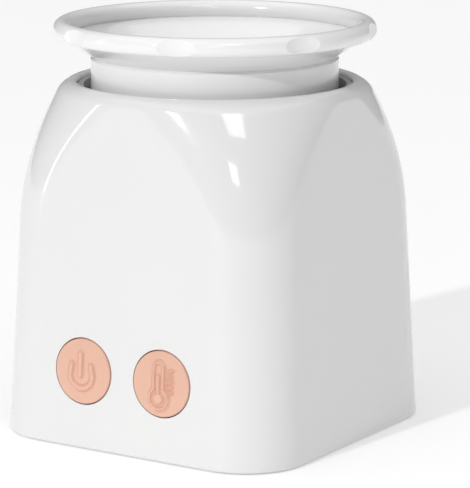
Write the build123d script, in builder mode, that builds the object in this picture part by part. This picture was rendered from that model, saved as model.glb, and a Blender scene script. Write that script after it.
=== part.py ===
"""Portable bottle warmer with a screw-in bottle adapter.

Millimetres, +Z up, origin on the surface it stands on, under the middle of the base.
The front, with the two buttons, faces -Y.
"""

import os
from math import cos, radians, sin, sqrt

from build123d import *

os.makedirs("parts", exist_ok=True)

# ---- body ------------------------------------------------------------------
base_side = 90.0          # width and depth of the base
body_height = 94.4        # crest of the lip
draft = 0.043             # how much each side leans in, mm per mm
corner_r = 17.5           # upright corners
dome_depth = 35.6         # the corners begin to round over this far below the crest
wall = 2.2
foot_lift = 0.4           # gap between the floor and the body
lip_height = 2.2          # rounded ring on top of the dome

# ---- well and heating cup --------------------------------------------------
liner_wall = 1.4
liner_drop = 1.3          # liner's top edge below the crest
well_depth = 16.6         # crest down to the well's floor
cup_wall = 1.3
cup_floor_z = 37.0
neck_wall = 2.3
neck_drop = 6.6           # neck's top below the crest
flange_w = 5.3            # cup's flange, beyond the neck
gasket_t = 1.2
pad_w = 2.6
insulation_t = 2.2
post_r = 2.5              # posts that hold the well up

# ---- three-start thread between neck and collar ----------------------------
thread_lead = 12.0
thread_starts = 3
thread_sweep = 100.0      # degrees covered by each start
thread_depth = 1.3
thread_w = 1.6
thread_gap = 0.6          # radial room over the crests

# ---- adapter ---------------------------------------------------------------
collar_wall = 2.3
well_gap = 2.05           # collar to liner, all round
collar_proud = 6.4        # collar's top above the body's crest
collar_bevel = 0.7
throat_r = 27.0           # takes the neck of a wide-neck bottle
throat_wall = 3.9
lead_in = 0.4             # the throat's mouth is this much wider, down to lead_in_depth
lead_in_depth = 2.0
ledge_w = 3.5             # ledge that the bottle's seal lies on
rim_r = 40.7              # centre line of the rolled rim
rim_tube_r = 2.55
rim_rise = 7.2            # rim's centre above the collar
dish_drop = 9.0           # foot of the dish below the rim's centre
dimples = 8
dimple_r = 14.0
dimple_depth = 1.3
dimple_turn = -2.5        # degrees, from an even spread about the front

# ---- buttons ---------------------------------------------------------------
button_r = 8.7
button_gap = 0.3
button_x = 12.4
button_z = 21.3
button_proud = 0.3        # edge of the cap in front of the face
button_dome = 0.6
button_travel = 0.7
icon_height = 0.3

# ---- inside ----------------------------------------------------------------
cell_r = 9.2              # 18650 cells
cell_length = 65.0
cell_pitch = 19.0
cell_z = 14.9
board_t = 1.6
cover_t = 2.2
clearance = 0.15


def half_width(z):
    return base_side / 2 - draft * z


dome_start = body_height - dome_depth
dome_top = body_height - 1.0
corner_top = half_width(dome_top) - 0.6


def corner(z):
    """Corner radius: constant on the sides, growing to a circle at the lip."""
    t = max(0.0, (z - dome_start) / (dome_top - dome_start))
    return corner_r + (corner_top - corner_r) * t * t


def body_sections(heights, inset):
    """Rounded squares of the body's outline at each height, drawn in by the inset."""
    faces = []
    for z in heights:
        with BuildSketch(Plane.XY.offset(z)) as outline:
            side = 2 * (half_width(z) - inset)
            RectangleRounded(side, side, corner(z) - inset)
        faces.append(outline.sketch.face())
    return faces


def ring(inner, outer, bottom, top, mode=Mode.ADD):
    """A plain ring around Z."""
    with BuildSketch(Plane.XY.offset(bottom)) as face:
        Circle(outer)
        if inner > 0:
            Circle(inner, mode=Mode.SUBTRACT)
    extrude(face.sketch, amount=top - bottom, mode=mode)


def thread_ridge(radius, depth, width, lead, degrees):
    """One helical ridge starting on +X at Z 0. A negative depth points inward."""
    with BuildPart() as ridge:
        with BuildLine() as path:
            Helix(pitch=lead, height=lead * degrees / 360, radius=radius)
        tip = width * 0.34
        with BuildSketch(Plane(origin=path.line @ 0, x_dir=(1, 0, 0), z_dir=path.line % 0)):
            with BuildLine():
                Polyline((0, -width / 2), (depth, -tip), (depth, tip), (0, width / 2), close=True)
            make_face()
        sweep(is_frenet=True)
    return ridge.part


def wire(points, radius):
    """A round lead through the points."""
    with BuildLine() as path:
        Spline(*points)
    with BuildSketch(Plane(origin=path.line @ 0, z_dir=path.line % 0)) as section:
        Circle(radius)
    sweep(section.sketch, path=path.line)


# The front wall's own plane: local X across, local Z out of the face.
lean = (0, -1, draft)
front = Plane(origin=(0, -half_width(button_z), button_z), x_dir=(1, 0, 0), z_dir=lean)


def inward(depth, x=0.0, y=0.0):
    """A location behind the front face."""
    return front * Location((x, y, -depth))


# Everything round the well is built outward from the bottle's throat.
bore_r = throat_r + throat_wall
neck_r = bore_r - thread_depth - thread_gap
cup_inner_r = neck_r - neck_wall
cup_r = cup_inner_r + cup_wall
flange_r = neck_r + flange_w
ledge_r = throat_r - ledge_w
collar_r = bore_r + collar_wall
liner_r = collar_r + well_gap + liner_wall
lip_inner_r = liner_r + clearance

lip_z = body_height - lip_height
well_z = body_height - well_depth
collar_top_z = body_height + collar_proud
rim_z = collar_top_z + rim_rise
dish_z = rim_z - dish_drop
neck_top = body_height - neck_drop
cavity_top = lip_z - 2.4
dome_heights = [dome_start + (lip_z - dome_start) * k / 5 for k in range(1, 6)]
side_heights = [foot_lift + 0.8, dome_start]
screw_spots = [(sx * (base_side / 2 - 7.7), sy * 14.0) for sx in (-1, 1) for sy in (-1, 1)]
foot_spots = [(sx * (base_side / 2 - 15), sy * (base_side / 2 - 15)) for sx in (-1, 1) for sy in (-1, 1)]
post_xy = (cup_r + 1.0 + insulation_t + 0.8 + post_r) / sqrt(2)
post_spots = [(sx * post_xy, sy * post_xy) for sx in (-1, 1) for sy in (-1, 1)]

# ---- outer shell -----------------------------------------------------------
with BuildPart() as outer_shell:
    loft(body_sections(side_heights, 0), ruled=True)
    loft(body_sections([dome_start] + dome_heights, 0))
    # small bevel around the bottom edge
    with BuildSketch(Plane.XY.offset(foot_lift)):
        low = 2 * (half_width(0) - 0.6)
        RectangleRounded(low, low, corner_r - 0.6)
    with BuildSketch(Plane.XY.offset(side_heights[0])):
        low = 2 * half_width(side_heights[0])
        RectangleRounded(low, low, corner_r)
    loft(ruled=True)
    # rounded lip
    lip_w = half_width(lip_z) + 0.1 - lip_inner_r
    with BuildSketch(Plane.XZ) as lip:
        with Locations((lip_inner_r, lip_z - 0.4)):
            Rectangle(lip_w, lip_height + 0.4, align=(Align.MIN, Align.MIN))
        fillet(lip.vertices().sort_by(Axis.Y)[-2:].sort_by(Axis.X)[-1], 1.7)
        fillet(lip.vertices().sort_by(Axis.Y)[-2:].sort_by(Axis.X)[0], 0.9)
    revolve(axis=Axis.Z)
    # hollow inside and the round mouth
    loft(body_sections([foot_lift - 0.2, dome_start], wall), ruled=True, mode=Mode.SUBTRACT)
    inner = [dome_start + (cavity_top - dome_start) * k / 4 for k in range(5)]
    loft(body_sections(inner, wall), mode=Mode.SUBTRACT)
    ring(0, lip_inner_r, cavity_top - 1, body_height + 1, Mode.SUBTRACT)
    # button holes
    with Locations(inward(0, -button_x), inward(0, button_x)):
        Cylinder(button_r + button_gap, 8, mode=Mode.SUBTRACT)
    # charging socket opening in the back
    port_z = 14.0
    with BuildSketch(Plane(origin=(0, base_side / 2 - 5, port_z), x_dir=(1, 0, 0), z_dir=(0, 1, 0))):
        SlotOverall(9.7, 3.9)
    extrude(amount=8, mode=Mode.SUBTRACT)
    with BuildSketch(Plane(origin=(0, half_width(port_z) - 0.7, port_z), x_dir=(1, 0, 0),
                           z_dir=(0, 1, 0))):
        SlotOverall(12.7, 6.9)
    extrude(amount=3, mode=Mode.SUBTRACT)
outer_shell.part.label = "outer_shell"

# ---- bottom cover, feet and screws -----------------------------------------
cover_z = foot_lift + 0.6
cover_top = cover_z + cover_t
with BuildPart() as bottom_cover:
    cover_side = 2 * (half_width(cover_top) - wall - clearance)
    with BuildSketch(Plane.XY.offset(cover_z)):
        RectangleRounded(cover_side, cover_side, corner_r - wall - clearance)
    extrude(amount=cover_t)
    with Locations([(x, y, cover_z) for x, y in foot_spots]):
        Cylinder(4.6, 2.0, mode=Mode.SUBTRACT)
    with Locations([(x, y, cover_z) for x, y in screw_spots]):
        Cylinder(1.6, 10, mode=Mode.SUBTRACT)
        Cylinder(3.0, 2.2, mode=Mode.SUBTRACT)
bottom_cover.part.label = "bottom_cover"

with BuildPart() as rubber_feet:
    with Locations([(x, y, 0) for x, y in foot_spots]):
        Cylinder(4.5, cover_z + 1.0, align=(Align.CENTER, Align.CENTER, Align.MIN))
    chamfer(rubber_feet.edges().filter_by(GeomType.CIRCLE).group_by(Axis.Z)[0], 0.5)
rubber_feet.part.label = "rubber_feet"

with BuildPart() as bottom_screws:
    with Locations([(x, y, cover_z + 0.1) for x, y in screw_spots]):
        Cylinder(2.8, 1.0, align=(Align.CENTER, Align.CENTER, Align.MIN))
        Cylinder(1.4, 11, align=(Align.CENTER, Align.CENTER, Align.MIN))
    with Locations([(x, y, cover_z + 0.1) for x, y in screw_spots]):
        Box(3.2, 0.6, 1.0, mode=Mode.SUBTRACT)
        Box(0.6, 3.2, 1.0, mode=Mode.SUBTRACT)
bottom_screws.part.label = "bottom_screws"

# ---- well liner ------------------------------------------------------------
with BuildPart() as well_liner:
    ring(0, liner_r, well_z - liner_wall, body_height - liner_drop)
    ring(0, liner_r - liner_wall, well_z, body_height, Mode.SUBTRACT)
    ring(0, neck_r + 1.0, well_z - 5, body_height, Mode.SUBTRACT)
    with Locations([(x, y, well_z - liner_wall) for x, y in post_spots]):
        Cylinder(post_r + 1.1, 3.0, align=(Align.CENTER, Align.CENTER, Align.MAX))
        Cylinder(post_r + 0.1, 3.0, align=(Align.CENTER, Align.CENTER, Align.MAX), mode=Mode.SUBTRACT)
well_liner.part.label = "well_liner"

# ---- heating cup, with its gasket ------------------------------------------
flange_z = well_z + gasket_t
thread_z = neck_top - 4.9
with BuildPart() as heating_cup:
    with BuildSketch(Plane.XZ) as half:
        with BuildLine():
            Polyline((0, cup_floor_z), (cup_inner_r + cup_wall, cup_floor_z),
                     (cup_inner_r + cup_wall, flange_z), (flange_r, flange_z),
                     (flange_r, flange_z + 1.0), (neck_r, flange_z + 1.0),
                     (neck_r, neck_top), (cup_inner_r, neck_top),
                     (cup_inner_r, cup_floor_z + cup_wall), (0, cup_floor_z + cup_wall),
                     close=True)
        make_face()
        corners = half.vertices()
        fillet(corners.filter_by(lambda v: v.X > cup_inner_r + 0.5 and v.Y < cup_floor_z + 0.5), 5.0)
        corners = half.vertices()
        fillet(corners.filter_by(lambda v: abs(v.X - cup_inner_r) < 0.01
                                 and v.Y < cup_floor_z + cup_wall + 0.5), 4.0)
        fillet(half.vertices().filter_by(lambda v: v.Y > neck_top - 0.01), 0.5)
    revolve(axis=Axis.Z)
    male = thread_ridge(neck_r - 0.3, thread_depth + 0.3, thread_w, thread_lead, thread_sweep)
    with Locations((0, 0, thread_z)):
        with PolarLocations(0, thread_starts):
            add(male)
heating_cup.part.label = "heating_cup"

with BuildPart() as cup_gasket:
    ring(neck_r + 1.2, flange_r, well_z, flange_z)
cup_gasket.part.label = "cup_gasket"

# ---- heater, insulation and sensors ----------------------------------------
band_top = well_z - 16.0
with BuildPart() as heater_band:
    ring(cup_r, cup_r + 0.9, cup_floor_z + 6, band_top)
    with Locations((0, cup_r + 0.4, cup_floor_z + 17)):
        Box(3.0, 4.0, 30, mode=Mode.SUBTRACT)
heater_band.part.label = "heater_band"

with BuildPart() as heater_insulation:
    ring(cup_r + 1.0, cup_r + 1.0 + insulation_t, cup_floor_z + 5, band_top + 2)
    with Locations((0, cup_r + 2, cup_floor_z + 17)):
        Box(6.0, 6.0, 40, mode=Mode.SUBTRACT)
heater_insulation.part.label = "heater_insulation"

with BuildPart() as thermistor:
    ring(0, 2.4, cup_floor_z - 1.8, cup_floor_z)
    with Locations((0, 0, cup_floor_z - 1.8)):
        Sphere(1.5)
thermistor.part.label = "thermistor"

with BuildPart() as thermal_fuse:
    with Locations((cup_r + 2.3, 0, band_top + 8)):
        Cylinder(2.0, 8.0)
        Cylinder(0.5, 11.0)
thermal_fuse.part.label = "thermal_fuse"

# ---- chassis that carries the cup and the well -----------------------------
plate_z = cell_z + cell_r + 3.5
pad_z = cup_floor_z - 1.2
pad_r = cup_r - 6.0
plate_x = half_width(plate_z) - wall - 1.4
plate_back = half_width(plate_z) - wall - 3.1
plate_front = -post_xy - 3.1
with BuildPart() as chassis:
    with BuildSketch(Plane.XY.offset(plate_z)):
        with Locations((0, (plate_front + plate_back) / 2)):
            RectangleRounded(2 * plate_x, plate_back - plate_front, corner_r - wall - 1.4)
        Circle(14, mode=Mode.SUBTRACT)
        with Locations((-24, -22), (24, -22)):
            RectangleRounded(8, 4, 1.5, mode=Mode.SUBTRACT)
    extrude(amount=2.0)
    ring(pad_r - pad_w - 0.4, pad_r + 2.0, plate_z + 2, pad_z)
    with Locations([(x, y, cover_top) for x, y in screw_spots]):
        Box(5.6, 5.6, plate_z - cover_top, align=(Align.CENTER, Align.CENTER, Align.MIN))
        Cylinder(1.5, 22, mode=Mode.SUBTRACT)
    with Locations([(x, y, plate_z) for x, y in post_spots]):
        Cylinder(post_r, well_z - liner_wall - plate_z, align=(Align.CENTER, Align.CENTER, Align.MIN))
        Cylinder(post_r + 1.5, 6.0, align=(Align.CENTER, Align.CENTER, Align.MIN))
chassis.part.label = "chassis"

with BuildPart() as cup_pad:
    ring(pad_r - pad_w, pad_r, pad_z, cup_floor_z)
cup_pad.part.label = "cup_pad"

# ---- battery ---------------------------------------------------------------
cell_ys = [6.5 + cell_pitch * k for k in (-1, 0, 1)]
with BuildPart() as battery_cells:
    for y in cell_ys:
        with Locations(Location((0, y, cell_z), (0, 90, 0))):
            Cylinder(cell_r, cell_length - 1.2)
        with Locations(Location((0, y, cell_z), (0, 90, 0))):
            Cylinder(3.0, cell_length)
battery_cells.part.label = "battery_cells"

with BuildPart() as battery_cradle:
    with Locations((0, cell_ys[1], cover_top)):
        Box(52, 57, cell_z - cell_r - cover_top - 0.2,
            align=(Align.CENTER, Align.CENTER, Align.MIN))
    with Locations((-22, cell_ys[1], cover_top), (22, cell_ys[1], cover_top)):
        Box(3, 57, 9.5, align=(Align.CENTER, Align.CENTER, Align.MIN))
    for y in cell_ys:
        with Locations(Location((0, y, cell_z), (0, 90, 0))):
            Cylinder(cell_r + 0.1, cell_length, mode=Mode.SUBTRACT)
battery_cradle.part.label = "battery_cradle"

with BuildPart() as cell_tabs:
    for side in (-1, 1):
        with Locations((side * (cell_length / 2 + 0.15), cell_ys[1], cell_z)):
            Box(0.3, 2 * cell_pitch + 7, 6)
cell_tabs.part.label = "cell_tabs"

# ---- buttons ---------------------------------------------------------------
flange_depth = wall + 0.1
plunger_depth = 6.8


cap_sphere = (button_r**2 + button_dome**2) / (2 * button_dome)
cap_front = button_proud + button_dome


def button_body():
    """Domed cap, retaining flange and stem of one button, in the front wall's frame."""
    with Locations(inward(-cap_front)):
        Cylinder(button_r, cap_front + flange_depth + 1.0,
                 align=(Align.CENTER, Align.CENTER, Align.MAX))
    with Locations(inward(cap_sphere - cap_front)):
        Sphere(cap_sphere, mode=Mode.INTERSECT)
    with Locations(inward(flange_depth)):
        Cylinder(button_r + 1.0, 1.0, align=(Align.CENTER, Align.CENTER, Align.MAX))
        Cylinder(2.2, plunger_depth - 0.8 - flange_depth,
                 align=(Align.CENTER, Align.CENTER, Align.MAX))


def raised(symbol):
    """The symbol as a low relief that follows the cap's dome."""
    with BuildPart() as relief:
        extrude(symbol, amount=4)
        with Locations(inward(cap_sphere - cap_front)):
            Sphere(cap_sphere + icon_height, mode=Mode.INTERSECT)
    return relief.part


icon_plane = Plane(inward(0.5))
with BuildPart() as power_button:
    button_body()
    with BuildSketch(icon_plane) as symbol:
        with Locations((0, -0.9)):
            Circle(4.2)
            Circle(3.0, mode=Mode.SUBTRACT)
            Rectangle(9, 5, align=(Align.CENTER, Align.MIN), mode=Mode.SUBTRACT)
        with Locations((-3.5, 0.6), (3.5, 0.6)):
            SlotOverall(4.2, 1.2, rotation=90)
        with Locations((0, 2.0)):
            SlotOverall(6.6, 1.3, rotation=90)
    add(raised(symbol.sketch))
power_button.part = power_button.part.moved(Location((-button_x, 0, 0)))
power_button.part.label = "power_button"

with BuildPart() as temperature_button:
    button_body()
    with BuildSketch(icon_plane) as symbol:
        with Locations((-0.3, 0.6)):
            SlotOverall(11.4, 3.7, rotation=90)
        with Locations((-0.3, -3.8)):
            Circle(3.2)
        with Locations((-0.3, 0.6)):
            SlotOverall(9.7, 2.2, rotation=90, mode=Mode.SUBTRACT)
        with Locations((-0.3, -3.8)):
            Circle(2.35, mode=Mode.SUBTRACT)
            Circle(1.4)
        with Locations((-0.3, -0.6)):
            SlotOverall(6.4, 1.0, rotation=90)
        with Locations([(2.9, 3.9 - 1.4 * k) for k in range(5)]):
            SlotOverall(2.0, 0.6)
    add(raised(symbol.sketch))
temperature_button.part = temperature_button.part.moved(Location((button_x, 0, 0)))
temperature_button.part.label = "temperature_button"

retainer_depth = flange_depth + 1.0 + button_travel + 0.2
board_depth = plunger_depth + 0.6 + 3.5
peg_spots = [(sx * 24.8, sy * 8.0) for sx in (-1, 1) for sy in (-1, 1)]
with BuildPart() as button_retainer:
    with Locations(inward(retainer_depth)):
        Box(60, 20, 1.4, align=(Align.CENTER, Align.CENTER, Align.MAX))
    with Locations([inward(wall + 0.05, x, y) for x, y in peg_spots]):
        Cylinder(2.4, board_depth - wall - 0.05, align=(Align.CENTER, Align.CENTER, Align.MAX))
    with Locations(inward(0, -button_x), inward(0, button_x)):
        Cylinder(2.2 + button_gap, 20, mode=Mode.SUBTRACT)
    with Locations([inward(board_depth, x, y) for x, y in peg_spots]):
        Cylinder(0.95, 9.0, mode=Mode.SUBTRACT)
button_retainer.part.label = "button_retainer"

# ---- control board ---------------------------------------------------------
with BuildPart() as control_board:
    with Locations(inward(board_depth)):
        Box(64, 23, board_t, align=(Align.CENTER, Align.CENTER, Align.MAX))
    with Locations([inward(board_depth, x, y) for x, y in peg_spots]):
        Cylinder(1.2, 6, mode=Mode.SUBTRACT)
control_board.part.label = "control_board"

with BuildPart() as tact_switches:
    for x in (-button_x, button_x):
        with Locations(inward(board_depth, x)):
            Box(6, 6, 3.5, align=(Align.CENTER, Align.CENTER, Align.MIN))
            Cylinder(1.7, board_depth - plunger_depth, align=(Align.CENTER, Align.CENTER, Align.MIN))
tact_switches.part.label = "tact_switches"

with BuildPart() as indicator_leds:
    for x in (-button_x, button_x):
        with Locations(inward(board_depth, x + 5.5)):
            Box(2.0, 1.25, 0.8, align=(Align.CENTER, Align.CENTER, Align.MIN))
indicator_leds.part.label = "indicator_leds"

with BuildPart() as board_screws:
    with Locations([inward(board_depth + board_t, x, y) for x, y in peg_spots]):
        Cylinder(1.9, 1.0, align=(Align.CENTER, Align.CENTER, Align.MAX))
        Cylinder(0.9, board_t + 3.5, align=(Align.CENTER, Align.CENTER, Align.MIN))
board_screws.part.label = "board_screws"

with BuildPart() as board_components:
    with Locations(inward(board_depth + board_t, 0, 1)):
        Box(7, 7, 1.0, align=(Align.CENTER, Align.CENTER, Align.MAX))
    with Locations([inward(board_depth + board_t, x, -2) for x in (-16, -9, 9)]):
        Box(5, 6, 1.6, align=(Align.CENTER, Align.CENTER, Align.MAX))
    with Locations([inward(board_depth + board_t, x, -4) for x in (16, 21)]):
        Cylinder(2.0, 3.2, align=(Align.CENTER, Align.CENTER, Align.MAX))
board_components.part.label = "board_components"

# ---- charging board and socket ---------------------------------------------
socket_back = half_width(port_z) - 7.5
with BuildPart() as charge_board:
    with Locations((0, socket_back, port_z)):
        Box(30, board_t, 19, align=(Align.CENTER, Align.MAX, Align.CENTER))
charge_board.part.label = "charge_board"

with BuildPart() as usb_port:
    socket = Plane(origin=(0, socket_back, port_z), x_dir=(1, 0, 0), z_dir=(0, 1, 0))
    with BuildSketch(socket):
        SlotOverall(8.94, 3.26)
    extrude(amount=half_width(port_z) - 0.9 - socket_back)
    with BuildSketch(socket.offset(1.4)):
        SlotOverall(8.34, 2.56)
    extrude(amount=10, mode=Mode.SUBTRACT)
    with BuildSketch(socket.offset(1.0)):
        Rectangle(6.7, 0.7)
    extrude(amount=4.7)
usb_port.part.label = "usb_port"

# ---- leads -----------------------------------------------------------------
board_y = -half_width(button_z) + board_depth + board_t
lead_r = 0.5
with BuildPart() as battery_leads:
    tab_x = cell_length / 2 + 0.32 + lead_r
    for side in (-1, 1):
        wire([(side * tab_x, cell_ys[0] + 2, cell_z), (side * tab_x, cell_ys[0] - 5, cell_z),
              (side * 31.5, cell_ys[0] - 13, cell_z + 0.6), (side * 26, board_y + 0.9, cell_z + 1)],
             lead_r)
battery_leads.part.label = "battery_leads"

with BuildPart() as charge_leads:
    for side in (-1, 1):
        wire([(side * 10, socket_back + 0.6, port_z + 6), (side * 17, socket_back + 0.9, port_z + 6),
              (side * 29, socket_back + 0.3, cell_z + 4), (side * (tab_x + 0.9), 31.5, cell_z + 2),
              (side * (tab_x + 0.05), 26, cell_z + 1)], lead_r)
charge_leads.part.label = "charge_leads"

with BuildPart() as heater_leads:
    for side in (-1, 1):
        wire([(side * 2.0, cup_r + 1.4, cup_floor_z + 8), (side * 4.2, cup_r + 4.6, cup_floor_z + 2),
              (side * 10, plate_back - 3.3, plate_z + 6.5),
              (side * 13, plate_back + 1.7, plate_z + 2.4),
              (side * 12.4, plate_back + 1.7, port_z + 11.5),
              (side * 11, socket_back + 0.8, port_z + 8.4)], lead_r)
heater_leads.part.label = "heater_leads"

with BuildPart() as sensor_leads:
    for side in (-1, 1):
        wire([(side * 1.6, -0.6, cup_floor_z - 3.9), (side * 2.4, -5, cup_floor_z - 6),
              (side * 3, -11.5, plate_z), (side * 3.4, -21, cell_z + cell_r + 1.2),
              (side * 4, board_y + 1.6, button_z + 7.2)], 0.4)
sensor_leads.part.label = "sensor_leads"

# ---- adapter ---------------------------------------------------------------
collar_z = flange_z + 1.0 + 1.0
shoulder_z = neck_top + 2.2
ledge_z = shoulder_z + 1.3
seal_top = ledge_z + 1.3
with BuildPart() as adapter_collar:
    ring(0, collar_r, collar_z, collar_top_z)
    chamfer(adapter_collar.edges().group_by(Axis.Z)[-1], collar_bevel)
    fillet(adapter_collar.edges().group_by(Axis.Z)[0], 0.5)
    ring(0, bore_r, collar_z - 1, collar_top_z + 1, Mode.SUBTRACT)
    female = thread_ridge(bore_r + 0.3, -(thread_depth + 0.4), thread_w, thread_lead, thread_sweep)
    with Locations((0, 0, thread_z - thread_lead / thread_starts / 2 + 0.2)):
        with PolarLocations(0, thread_starts):
            add(female)
adapter_collar.part.label = "adapter_collar"

with BuildPart() as adapter_funnel:
    mouth_r = throat_r + lead_in
    spigot_r = bore_r - 0.1
    # the dish leaves the rim's tube low on its inner side, at 50 degrees below level
    crease_r = rim_r - rim_tube_r * cos(radians(50))
    crease_z = rim_z - rim_tube_r * sin(radians(50))
    with BuildSketch(Plane.XZ) as half:
        with BuildLine():
            Polyline((ledge_r, shoulder_z), (spigot_r, shoulder_z), (spigot_r, collar_top_z),
                     (collar_r - 0.4, collar_top_z), (rim_r - 0.5, rim_z - rim_tube_r + 0.1),
                     (rim_r, rim_z), (crease_r, crease_z), (mouth_r + 0.5, dish_z),
                     (mouth_r, dish_z - 0.5), (mouth_r, dish_z - 0.5 - lead_in_depth),
                     (throat_r, dish_z - 0.5 - lead_in_depth), (throat_r, ledge_z),
                     (ledge_r, ledge_z), close=True)
        make_face()
        with Locations((rim_r, rim_z)):
            Circle(rim_tube_r)
    revolve(axis=Axis.Z)
    # grip dimples around the rim
    reach = rim_r + rim_tube_r - dimple_depth + dimple_r
    first_dimple = -90 + 180 / dimples + dimple_turn
    with Locations((0, 0, rim_z + 0.35)):
        with PolarLocations(reach, dimples, start_angle=first_dimple):
            Sphere(dimple_r, mode=Mode.SUBTRACT)
    # thread that takes the bottle
    grip = thread_ridge(throat_r + 0.2, -1.3, 1.1, 3.0, 300)
    with Locations((0, 0, seal_top + 0.7)):
        add(grip)
adapter_funnel.part.label = "adapter_funnel"

with BuildPart() as adapter_seal:
    ring(cup_inner_r + 0.4, bore_r - 0.4, neck_top + 0.15, shoulder_z - 0.15)
adapter_seal.part.label = "adapter_seal"

with BuildPart() as bottle_seal:
    ring(ledge_r, throat_r - 0.1, ledge_z, seal_top)
bottle_seal.part.label = "bottle_seal"

# ---- write every piece -----------------------------------------------------
for piece in (outer_shell, bottom_cover, rubber_feet, bottom_screws, well_liner, heating_cup,
              cup_gasket, heater_band, heater_insulation, thermistor, thermal_fuse, chassis,
              cup_pad, battery_cells, battery_cradle, cell_tabs, power_button,
              temperature_button, button_retainer, control_board, tact_switches,
              indicator_leds, board_screws, board_components, charge_board, usb_port,
              battery_leads, charge_leads, heater_leads, sensor_leads, adapter_collar,
              adapter_funnel, adapter_seal, bottle_seal):
    export_step(piece.part, "parts/" + piece.part.label + ".step")
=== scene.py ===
"""Looks of a portable bottle warmer: glossy base, screw-in adapter, two satin buttons."""

import math

import bmesh
import bpy
from mathutils import Matrix, Vector


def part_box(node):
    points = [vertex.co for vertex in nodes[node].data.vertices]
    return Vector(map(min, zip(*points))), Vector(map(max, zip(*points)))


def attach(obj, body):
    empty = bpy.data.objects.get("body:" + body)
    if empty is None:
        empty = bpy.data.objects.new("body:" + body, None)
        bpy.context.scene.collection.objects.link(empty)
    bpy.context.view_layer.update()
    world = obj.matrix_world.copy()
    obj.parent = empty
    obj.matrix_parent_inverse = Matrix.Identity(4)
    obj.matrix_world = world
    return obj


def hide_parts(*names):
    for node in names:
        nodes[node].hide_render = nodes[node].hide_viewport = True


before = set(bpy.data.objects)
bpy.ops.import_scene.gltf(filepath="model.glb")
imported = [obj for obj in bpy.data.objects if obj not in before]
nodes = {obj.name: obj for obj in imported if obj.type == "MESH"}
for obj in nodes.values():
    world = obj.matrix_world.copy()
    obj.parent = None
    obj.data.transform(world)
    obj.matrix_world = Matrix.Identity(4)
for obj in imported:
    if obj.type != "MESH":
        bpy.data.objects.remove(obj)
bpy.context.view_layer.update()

# ---- outer shell -----------------------------------------------------------
# One injection-moulded shell of glossy white plastic. Its four sides lean in, and its
# upright corners widen until they meet in a round lip. The buttons' holes and the
# charging socket's recess are moulded in.

shell_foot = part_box("outer_shell")[0].z
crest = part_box("outer_shell")[1].z
base_half = 0.045
lean = 0.043
corner_r = 0.0175
dome_start = crest - 0.0356
dome_top = crest - 0.0004
corner_slack = 0.0002       # the widest corners stop this short of a full circle
least_side = 0.00002        # a round outline keeps this much of each straight side
shell_wall = 0.0022
foot_round = 0.0008
mouth_r = 0.0368
lip_round = 0.0029
lip_start = crest - lip_round
lip_inner_round = 0.0010
ceiling = crest - 0.0046
button_spots = {name: (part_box(name)[0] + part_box(name)[1]) / 2 for name in
                ("power_button", "temperature_button")}
button_z = button_spots["power_button"].z
button_hole_r = 0.0090
button_hole_depth = 0.010
port_spot = (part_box("usb_port")[0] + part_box("usb_port")[1]) / 2
port_hole = (0.00485, 0.00195, 0.009)       # half width, half height, depth
port_recess = (0.00635, 0.00345, 0.0007)
port_overrun = 0.004


def side_half(z):
    """Half the body's width at a height."""
    return base_half - lean * z


def corner_at(z):
    """Corner radius: even up the sides, then widening almost to a full circle at the lip."""
    widest = side_half(crest) - corner_slack
    t = max(0.0, (z - dome_start) / (dome_top - dome_start))
    return corner_r + (widest - corner_r) * min(t, 1.0) ** 2


def outline(half, radius, z, arc_steps=24, side_steps=10):
    """Points round a square with rounded corners."""
    flat = half - radius
    points = []
    for quarter in range(4):
        turn = Matrix.Rotation(quarter * math.pi / 2, 3, "Z")
        for k in range(arc_steps + 1):
            a = k / arc_steps * math.pi / 2
            points.append(turn @ Vector((flat + radius * math.cos(a),
                                         flat + radius * math.sin(a), z)))
        for k in range(1, side_steps):
            points.append(turn @ Vector((flat * (1 - 2 * k / side_steps), half, z)))
    return points


def skin(name, rows, closed=True):
    """A mesh of quads through rows of points, each row running round the piece."""
    mesh = bpy.data.meshes.new(name)
    count = len(rows[0])
    faces = []
    pairs = len(rows) if closed else len(rows) - 1
    for r in range(pairs):
        here, there = r * count, (r + 1) % len(rows) * count
        for k in range(count):
            n = (k + 1) % count
            faces.append((here + k, here + n, there + n, there + k))
    mesh.from_pydata([p for row in rows for p in row], [], faces)
    piece = bpy.data.objects.new(name, mesh)
    bpy.context.scene.collection.objects.link(piece)
    return piece


def close(piece):
    """Fills the piece's open ends and turns all its faces outwards."""
    work = bmesh.new()
    work.from_mesh(piece.data)
    bmesh.ops.holes_fill(work, edges=work.edges)
    bmesh.ops.recalc_face_normals(work, faces=work.faces)
    work.to_mesh(piece.data)
    work.free()


def smooth(piece, degrees=30):
    """Soft shading, with creases kept where faces meet at more than the angle."""
    piece.data.shade_smooth()
    piece.data.set_sharp_from_angle(angle=math.radians(degrees))


shell_rows = [outline(side_half(0) - shell_wall, corner_r - shell_wall, shell_foot)]
for k in range(6):
    a = k / 5 * math.pi / 2
    inset = foot_round * (1 - math.sin(a))
    shell_rows.append(outline(side_half(0) - inset, corner_r - inset,
                              shell_foot + foot_round * (1 - math.cos(a))))
sides_start = shell_foot + foot_round
for k in range(1, 13):
    z = sides_start + (dome_start - sides_start) * k / 12
    shell_rows.append(outline(side_half(z), corner_at(z), z))
for k in range(1, 53):
    z = dome_start + (lip_start - dome_start) * k / 52
    shell_rows.append(outline(side_half(z), corner_at(z), z))
for k in range(1, 13):
    a = k / 12 * math.pi / 2
    z = lip_start + lip_round * math.sin(a)
    inset = lip_round * (1 - math.cos(a))
    shell_rows.append(outline(side_half(z) - inset, corner_at(z) - inset, z))
for k in range(9):
    a = k / 8 * math.pi / 2
    r = mouth_r + lip_inner_round * (1 - math.sin(a))
    shell_rows.append(outline(r, r - least_side, crest - lip_inner_round * (1 - math.cos(a))))
shell_rows.append(outline(mouth_r, mouth_r - least_side, ceiling))
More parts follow.
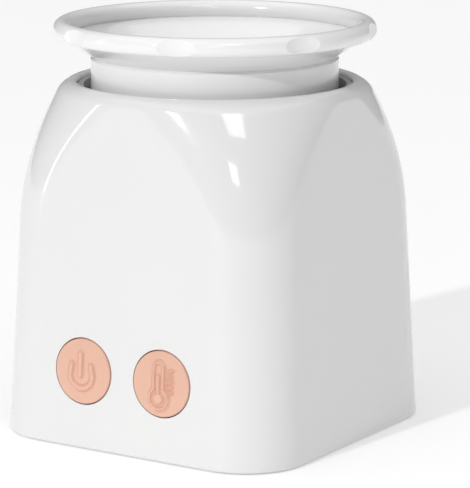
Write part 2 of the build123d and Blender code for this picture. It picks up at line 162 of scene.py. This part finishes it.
for k in range(13):
    z = ceiling + (dome_start - ceiling) * k / 12
    shell_rows.append(outline(side_half(z) - shell_wall, corner_at(z) - shell_wall, z))
shell = skin("shell_skin", shell_rows)
close(shell)


def on_front(spot):
    """Places a button or its hole square to the leaning front."""
    tilt = Matrix.Rotation(math.pi / 2 - math.atan(lean), 4, "X")
    return Matrix.Translation((spot.x, -side_half(button_z), button_z)) @ tilt


cutters = []
for spot in button_spots.values():
    bpy.ops.mesh.primitive_cylinder_add(vertices=160, radius=button_hole_r,
                                        depth=button_hole_depth)
    cutter = bpy.context.object
    cutter.matrix_world = on_front(spot)
    cutters.append(cutter)
wall_y = side_half(port_spot.z)
for half_w, half_h, reach in (port_hole, port_recess):
    ring = []
    for k in range(48):
        a = k / 48 * math.tau
        side = (half_w - half_h) * (1 if math.cos(a) >= 0 else -1)
        ring.append((side + half_h * math.cos(a), half_h * math.sin(a)))
    ends = [[Vector((x, y, port_spot.z + z)) for x, z in ring]
            for y in (wall_y - reach, wall_y + port_overrun)]
    cutter = skin("port_cutter", ends, closed=False)
    close(cutter)
    cutters.append(cutter)
bpy.context.view_layer.update()
for cutter in cutters:
    cut = shell.modifiers.new("cut", "BOOLEAN")
    cut.operation, cut.object, cut.solver = "DIFFERENCE", cutter, "EXACT"
shell.data = bpy.data.meshes.new_from_object(
    shell.evaluated_get(bpy.context.evaluated_depsgraph_get()))
shell.modifiers.clear()
for cutter in cutters:
    bpy.data.objects.remove(cutter)
smooth(shell)


class Wire:
    """What a shader node gives out. It multiplies and adds as a number does."""

    def __init__(self, finish, socket):
        self.finish, self.socket = finish, socket

    def reckon(self, operation, number):
        return self.finish.node("ShaderNodeMath", {"operation": operation}, {0: self, 1: number})

    def __add__(self, number):
        return self.reckon("ADD", number)

    def __mul__(self, number):
        return self.reckon("MULTIPLY", number)


class Finish:
    """A material built from nodes round one Principled shader."""

    def __init__(self, name, **fixed):
        self.material = bpy.data.materials.new(name)
        self.material.use_nodes = True
        self.tree = self.material.node_tree
        self.shader = self.tree.nodes["Principled BSDF"]
        for socket, value in fixed.items():
            self.set(socket.replace("_", " "), value)

    def set(self, socket, value):
        """Puts a value, or the end of a wire, on one of the shader's own sockets."""
        target = self.shader.inputs[socket]
        if isinstance(value, Wire):
            self.tree.links.new(value.socket, target)
        else:
            target.default_value = value

    def node(self, kind, settings, inputs, output=0):
        """Any other node: its type, its settings, then its sockets' values or wires."""
        made = self.tree.nodes.new(kind)
        for name, value in settings.items():
            if name == "stops":
                ramp = made.color_ramp.elements
                while len(ramp) < len(value):
                    ramp.new(0.5)
                for stop, (place, color) in zip(ramp, value):
                    stop.position, stop.color = place, (*color, 1)
            else:
                setattr(made, name, value)
        for name, value in inputs.items():
            if isinstance(value, Wire):
                self.tree.links.new(value.socket, made.inputs[name])
            else:
                made.inputs[name].default_value = value
        return Wire(self, made.outputs[output])

    def place(self):
        return self.node("ShaderNodeTexCoord", {}, {}, "Object")

    def noise(self, scale, detail):
        return self.node("ShaderNodeTexNoise", {},
                         {"Vector": self.place(), "Scale": scale, "Detail": detail})

    def shades(self, factor, *colors):
        """A colour that runs through the given ones as the factor goes from 0 to 1."""
        stops = [(k / (len(colors) - 1), c) for k, c in enumerate(colors)]
        return self.node("ShaderNodeValToRGB", {"stops": stops}, {"Fac": factor})

    def bump(self, height, distance, strength):
        self.set("Normal", self.node("ShaderNodeBump", {}, {
            "Height": height, "Distance": distance, "Strength": strength}))


def wear(piece, finish):
    """Gives the piece a finish in place of any it came with."""
    piece.data.materials.clear()
    piece.data.materials.append(finish.material)


white_gloss = Finish("white_gloss", Coat_Weight=0.35, Coat_Roughness=0.03, IOR=1.5)
clouds = white_gloss.noise(18.0, 2.0)
white_gloss.set("Base Color",
                white_gloss.shades(clouds, (0.75, 0.75, 0.752), (0.79, 0.79, 0.788)))
smears = white_gloss.noise(70.0, 4.0)
white_gloss.set("Roughness", smears * 0.06 + 0.07)
white_gloss.bump(white_gloss.noise(260.0, 1.0), 0.00002, 0.35)
wear(shell, white_gloss)
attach(shell, "base")
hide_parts("outer_shell")

# ---- bottom cover, feet and screws -----------------------------------------
# A finely textured plastic plate closes the base from below. Four screws hold it, and
# four rubber feet pressed into its pockets keep the warmer from sliding.

cover_plastic = Finish("cover_plastic", Roughness=0.5)
grain = cover_plastic.noise(2600.0, 2.0)
cover_plastic.set("Base Color", cover_plastic.shades(grain, (0.5, 0.5, 0.49), (0.6, 0.6, 0.59)))
cover_plastic.bump(grain, 0.00006, 0.6)
wear(nodes["bottom_cover"], cover_plastic)

foot_rubber = Finish("foot_rubber", Roughness=0.75)
dust = foot_rubber.noise(900.0, 4.0)
foot_rubber.set("Base Color", foot_rubber.shades(dust, (0.07, 0.07, 0.075), (0.13, 0.13, 0.13)))
foot_rubber.bump(dust, 0.00005, 0.5)
wear(nodes["rubber_feet"], foot_rubber)

screw_steel = Finish("screw_steel", Metallic=1.0)
tarnish = screw_steel.noise(1500.0, 3.0)
screw_steel.set("Roughness", tarnish * 0.25 + 0.22)
screw_steel.set("Base Color", screw_steel.shades(tarnish, (0.48, 0.48, 0.5), (0.62, 0.61, 0.6)))
for name in ("bottom_screws", "board_screws", "thermal_fuse"):
    wear(nodes[name], screw_steel)

# ---- well liner ------------------------------------------------------------
# A dark grey cup of fine-textured plastic set just inside the lip. The adapter stands in
# it with an even gap all round.

liner_plastic = Finish("liner_plastic", Roughness=0.55)
stipple = liner_plastic.noise(3200.0, 2.0)
liner_plastic.set("Base Color",
                  liner_plastic.shades(stipple, (0.31, 0.31, 0.315), (0.47, 0.47, 0.475)))
liner_plastic.bump(stipple, 0.00008, 0.8)
wear(nodes["well_liner"], liner_plastic)

# ---- heating cup -----------------------------------------------------------
# The milk is warmed in a spun stainless steel cup. Its neck has the three-start thread
# that the adapter screws onto.

spun_steel = Finish("spun_steel", Metallic=1.0)
turning = spun_steel.node("ShaderNodeTexWave", {"wave_type": "RINGS", "rings_direction": "Z"},
                          {"Vector": spun_steel.place(), "Scale": 900.0, "Distortion": 1.5,
                           "Detail": 2.0, "Detail Scale": 3.0})
spun_steel.set("Roughness", turning * 0.14 + 0.18)
spun_steel.set("Base Color",
               spun_steel.shades(turning, (0.56, 0.555, 0.55), (0.68, 0.675, 0.66)))
wear(nodes["heating_cup"], spun_steel)

# ---- silicone seals --------------------------------------------------------
# Soft translucent rings: under the cup's flange, under the cup, between adapter and
# neck, and on the ledge where the bottle's rim lands.

silicone = Finish("seal_silicone", Roughness=0.42, Subsurface_Weight=0.25,
                  Subsurface_Scale=0.002)
bloom = silicone.noise(500.0, 3.0)
silicone.set("Base Color", silicone.shades(bloom, (0.70, 0.71, 0.72), (0.78, 0.79, 0.80)))
silicone.bump(bloom, 0.00003, 0.4)
for name in ("cup_gasket", "cup_pad", "adapter_seal", "bottle_seal"):
    wear(nodes[name], silicone)

# ---- adapter ---------------------------------------------------------------
# Two white mouldings pressed together: the plain threaded collar, and the dish with a
# thick rolled rim that has eight grip dimples. An upturned bottle screws into its throat.

adapter_white = Finish("adapter_white", Coat_Weight=0.3, Coat_Roughness=0.04, IOR=1.5)
haze = adapter_white.noise(30.0, 2.0)
adapter_white.set("Base Color",
                  adapter_white.shades(haze, (0.84, 0.84, 0.84), (0.88, 0.88, 0.878)))
adapter_white.set("Roughness", adapter_white.noise(90.0, 4.0) * 0.07 + 0.10)
adapter_white.bump(adapter_white.noise(300.0, 1.0), 0.00002, 0.3)
for name in ("adapter_collar", "adapter_funnel"):
    wear(nodes[name], adapter_white)

# ---- buttons ---------------------------------------------------------------
# Two domed satin caps in a soft rose gold, each with its symbol raised on it: a power
# mark, and a thermometer with five marks beside it. Each slides in its hole.

cap_r = 0.0087
cap_dome = 0.0006
cap_proud = 0.0003
cap_round = 0.00035
cap_foot = -0.0022
flange_r = 0.0097
flange_top = -0.0023
flange_foot = -0.0033
stem_r = 0.0022
stem_end = -0.0060
cap_steps = 84
cap_sides = 240
relief = 0.00050
ramp_start, ramp_width = -0.06, 0.36        # millimetres into a mark's stroke
moat = 0.00022
moat_middle, moat_width = -0.22, 0.16


def run(x, y, ax, ay, bx, by):
    """Distance from a point to the straight stroke between two others."""
    px, py, qx, qy = x - ax, y - ay, bx - ax, by - ay
    t = max(0.0, min(1.0, (px * qx + py * qy) / (qx * qx + qy * qy)))
    return math.hypot(px - t * qx, py - t * qy)


def power_mark(x, y):
    """How far inside the power mark's strokes a point is, in millimetres."""
    ring_r, ring_y, bar_x = 3.55, -0.9, -0.3
    bend = abs(math.hypot(x, y - ring_y) - ring_r) if y < ring_y else math.inf
    arms = min(run(x, y, s * ring_r, ring_y, s * 3.05, 1.7) for s in (-1, 1))
    bar = run(x, y, bar_x, 4.6, bar_x, -0.8)
    return max(0.68 - min(bend, arms), 0.74 - bar)


def thermometer_mark(x, y):
    """The same for the thermometer: outline, column with its bulb, and scale marks."""
    axis_x, bulb_y, mark_step, stroke = -0.3, -3.8, 1.4, 0.42
    bulb = math.hypot(x - axis_x, y - bulb_y)
    outer = min(run(x, y, axis_x, 4.3, axis_x, -3.0) - 1.9, bulb - 3.2)
    column = min(run(x, y, axis_x, 2.2, axis_x, -3.4) - 0.5, bulb - 1.4)
    marks = min(run(x, y, 2.1, 3.4 - mark_step * k, 3.9, 3.9 - mark_step * k)
                for k in range(5)) - 0.3
    return max(stroke - abs(outer + stroke), -column, -marks)


rose = Finish("rose_gold_satin", Coat_Weight=0.15, Coat_Roughness=0.25)
pearl = rose.noise(60.0, 3.0)
rose.set("Base Color", rose.shades(pearl, (0.73, 0.43, 0.32), (0.78, 0.47, 0.355)))
rose.set("Roughness", rose.noise(900.0, 3.0) * 0.12 + 0.28)
rose.bump(rose.noise(1800.0, 2.0), 0.00001, 0.4)

angles = [s / cap_sides * math.tau for s in range(cap_sides)]
for name, mark in (("power_button", power_mark), ("temperature_button", thermometer_mark)):
    rows = []
    for k in range(1, cap_steps + 1):
        r = cap_r * (k / cap_steps)
        edge = max(0.0, r - (cap_r - cap_round)) / cap_round
        row = []
        for a in angles:
            x, y = r * math.cos(a), r * math.sin(a)
            inside = mark(x * 1000, y * 1000)
            rise = min(1.0, max(0.0, (inside - ramp_start) / ramp_width))
            rise = rise * rise * (3 - 2 * rise)
            z = cap_proud + cap_dome * (1 - (r / cap_r) ** 2) + relief * rise
            z -= moat * math.exp(-((inside - moat_middle) / moat_width) ** 2)
            z -= cap_round * (1 - math.sqrt(max(0.0, 1 - edge * edge)))
            row.append(Vector((x, y, z)))
        rows.append(row)
    for r, z in ((cap_r, cap_foot), (flange_r, flange_top), (flange_r, flange_foot),
                 (stem_r, flange_foot), (stem_r, stem_end)):
        rows.append([Vector((r * math.cos(a), r * math.sin(a), z)) for a in angles])
    cap = skin(name + "_cap", rows, closed=False)
    close(cap)
    cap.matrix_world = on_front(button_spots[name])
    smooth(cap, 50)
    wear(cap, rose)
    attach(cap, name)
    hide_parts(name)

# ---- heater and sensors ----------------------------------------------------
# An amber film heater is wrapped round the cup under a felt blanket, and a small
# sensor is held against the cup's floor.

heater_film = Finish("heater_film", Roughness=0.25, Coat_Weight=0.5)
tracks = heater_film.node("ShaderNodeTexWave", {"bands_direction": "Z"},
                          {"Vector": heater_film.place(), "Scale": 160.0, "Distortion": 0.0})
heater_film.set("Base Color",
                heater_film.shades(tracks, (0.62, 0.30, 0.07), (0.32, 0.15, 0.05)))
heater_film.bump(tracks, 0.00005, 0.5)
wear(nodes["heater_band"], heater_film)

felt = Finish("insulation_felt", Roughness=0.95)
fibres = felt.noise(1400.0, 6.0)
felt.set("Base Color", felt.shades(fibres, (0.62, 0.60, 0.55), (0.82, 0.80, 0.76)))
felt.bump(fibres, 0.0003, 0.9)
wear(nodes["heater_insulation"], felt)

# ---- chassis, cradle and button guide --------------------------------------
# Black moulded frames inside the base carry the cup, the cells and the buttons.

frame_plastic = Finish("frame_plastic", Roughness=0.5)
spark = frame_plastic.noise(2400.0, 2.0)
frame_plastic.set("Base Color",
                  frame_plastic.shades(spark, (0.02, 0.02, 0.022), (0.05, 0.05, 0.052)))
frame_plastic.bump(spark, 0.00006, 0.6)
for name in ("chassis", "battery_cradle", "button_retainer"):
    wear(nodes[name], frame_plastic)

# ---- cells -----------------------------------------------------------------
# Three rechargeable cells in blue shrink sleeves, welded together with nickel strip.

sleeve = Finish("cell_sleeve", Roughness=0.22, Coat_Weight=0.4)
wrinkles = sleeve.noise(420.0, 3.0)
sleeve.set("Base Color", sleeve.shades(wrinkles, (0.03, 0.13, 0.31), (0.05, 0.19, 0.42)))
sleeve.bump(wrinkles, 0.00006, 0.4)
wear(nodes["battery_cells"], sleeve)

nickel = Finish("nickel_strip", Metallic=1.0)
rolled = nickel.noise(800.0, 4.0)
nickel.set("Roughness", rolled * 0.2 + 0.2)
nickel.set("Base Color", nickel.shades(rolled, (0.55, 0.53, 0.5), (0.68, 0.66, 0.62)))
wear(nodes["cell_tabs"], nickel)

# ---- circuit boards --------------------------------------------------------
# Green solder mask over a weave of glass cloth, with black moulded components.

mask_green = Finish("solder_mask", Roughness=0.3, Coat_Weight=0.4)
weave = mask_green.node("ShaderNodeTexChecker", {},
                        {"Vector": mask_green.place(), "Scale": 1800.0}, "Fac")
mask_green.set("Base Color", mask_green.shades(weave, (0.012, 0.11, 0.045), (0.02, 0.14, 0.06)))
mask_green.bump(weave, 0.00002, 0.3)
for name in ("control_board", "charge_board"):
    wear(nodes[name], mask_green)

chip_black = Finish("chip_black")
matt = chip_black.noise(3000.0, 2.0)
chip_black.set("Roughness", matt * 0.25 + 0.3)
chip_black.set("Base Color", chip_black.shades(matt, (0.015, 0.015, 0.015), (0.03, 0.03, 0.03)))
for name in ("tact_switches", "board_components", "thermistor"):
    wear(nodes[name], chip_black)

led_resin = Finish("led_resin", Roughness=0.15, Transmission_Weight=0.3)
phosphor = led_resin.noise(2500.0, 2.0)
led_resin.set("Base Color", led_resin.shades(phosphor, (0.85, 0.8, 0.5), (0.9, 0.88, 0.72)))
wear(nodes["indicator_leds"], led_resin)

plated = Finish("plated_socket", Metallic=1.0)
scuffs = plated.noise(1200.0, 5.0)
plated.set("Roughness", scuffs * 0.2 + 0.1)
plated.set("Base Color", plated.shades(scuffs, (0.62, 0.62, 0.62), (0.76, 0.76, 0.75)))
wear(nodes["usb_port"], plated)

# ---- leads -----------------------------------------------------------------
# Silicone-covered wires run from the cells, the charging board, the heater and the sensor.

for names, tint in ((("battery_leads", "charge_leads"), (0.5, 0.03, 0.025)),
                    (("heater_leads", "sensor_leads"), (0.75, 0.74, 0.7))):
    jacket = Finish(names[0] + "_jacket")
    ripple = jacket.noise(700.0, 3.0)
    jacket.set("Base Color", jacket.shades(ripple, tuple(0.85 * c for c in tint), tint))
    jacket.set("Roughness", ripple * 0.2 + 0.35)
    for name in names:
        wear(nodes[name], jacket)

# ---- table and light -------------------------------------------------------
# A plain white table in a bright room. A low sun at the front lights the front and throws
# the rim's shadow on the collar, and a wide one overhead lifts the top. Two windows and a
# strip give the glossy corners their bright patches.

table_half = 4
table_corners = [(x * table_half, y * table_half, 0)
                 for x, y in ((-1, -1), (1, -1), (1, 1), (-1, 1))]
table_mesh = bpy.data.meshes.new("table_top")
table_mesh.from_pydata(table_corners, [], [(0, 1, 2, 3)])
table_top = bpy.data.objects.new("table_top", table_mesh)
bpy.context.scene.collection.objects.link(table_top)
table_white = Finish("table_white", Roughness=0.6, Emission_Color=(1, 1, 1, 1),
                     Emission_Strength=0.20)
veil = table_white.noise(3.0, 2.0)
table_white.set("Base Color", table_white.shades(veil, (0.92, 0.92, 0.92), (0.94, 0.94, 0.94)))
wear(table_top, table_white)

room = bpy.data.worlds.new("room")
room.use_nodes = True
room.node_tree.nodes["Background"].inputs["Color"].default_value = (1, 1, 1, 1)
room.node_tree.nodes["Background"].inputs["Strength"].default_value = 0.30
bpy.context.scene.world = room
aim = Vector((0, 0, 0.06))


def lamp(name, kind, azimuth, elevation, distance, power, **settings):
    """A lamp that shines at the middle of the warmer from a direction."""
    light = bpy.data.lights.new(name, kind)
    light.energy = power
    for key, value in settings.items():
        setattr(light, key, value)
    holder = bpy.data.objects.new(name, light)
    bpy.context.scene.collection.objects.link(holder)
    a, e = math.radians(azimuth), math.radians(elevation)
    away = Vector((math.sin(a) * math.cos(e), -math.cos(a) * math.cos(e), math.sin(e)))
    holder.location = aim + away * distance
    holder.rotation_euler = (-away).to_track_quat("-Z", "Y").to_euler()


lamp("key", "SUN", -7, 26, 2.0, 1.12, angle=math.radians(2.5))
lamp("overhead", "SUN", 0, 89, 2.0, 1.16, angle=math.radians(85))
lamp("high_window", "AREA", 46, 46, 1.2, 0.9, shape="RECTANGLE", size=0.28, size_y=0.24)
lamp("low_window", "AREA", 33, 25, 1.2, 0.5, shape="RECTANGLE", size=0.16, size_y=0.16)
lamp("left_strip", "AREA", -53, 4, 1.2, 0.5, shape="RECTANGLE", size=0.06, size_y=0.5)

# ---- camera ----------------------------------------------------------------
# A long lens looks slightly down at the front and right sides.

eye = bpy.data.cameras.new("eye")
eye.lens = 211.1
look_down, swing = 0.2054, 0.5752
viewer = bpy.data.objects.new("viewer", eye)
viewer.location = (0.4174, -0.6339, 0.2071)
viewer.rotation_euler = (math.pi / 2 - look_down, 0, swing)
bpy.context.scene.collection.objects.link(viewer)
bpy.context.scene.camera = viewer
bpy.context.scene.view_settings.view_transform = "Standard"
